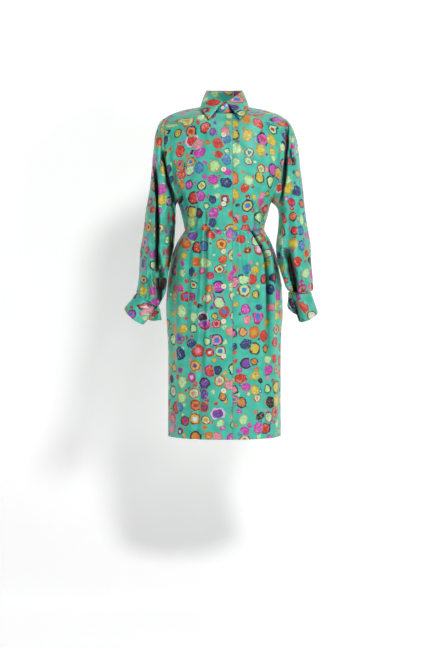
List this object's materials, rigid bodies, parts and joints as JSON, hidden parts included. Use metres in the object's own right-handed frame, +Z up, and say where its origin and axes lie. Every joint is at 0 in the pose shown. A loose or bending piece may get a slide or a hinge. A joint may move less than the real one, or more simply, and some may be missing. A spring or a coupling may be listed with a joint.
{
  "type": "shirt dress",
  "caption": "Knee-length shirt dress worn hollow: pointed collar on a stand, yoke, long sleeves with open cuffs, waist seam, pleated skirt and a buttoned front.",
  "frame": {"origin": "middle of the base of the wearer's neck, between the two shoulder lines, where the dress hangs from the shoulders", "axes": "+Z up the wearer's body, -Y out of the wearer's front, +X to the wearer's left"},
  "size_m": [0.6102, 0.2607, 1.1067],
  "materials": {
    "silk": "soft sheen, printed with scattered coloured dots on turquoise",
    "button_shell": "pearly gloss"
  },
  "bodies": {
    "root": {"left_front_bodice": "silk", "right_front_bodice": "silk", "back_bodice": "silk", "back_yoke": "silk", "collar_stand": "silk", "collar_leaf": "silk", "left_sleeve": "silk", "right_sleeve": "silk", "left_cuff": "silk", "right_cuff": "silk", "left_front_skirt": "silk", "right_front_skirt": "silk", "back_skirt": "silk", "button_1": "button_shell", "button_2": "button_shell", "button_3": "button_shell", "button_4": "button_shell", "button_5": "button_shell", "button_6": "button_shell", "button_7": "button_shell", "button_8": "button_shell", "stand_button": "button_shell"}
  },
  "joints": []
}
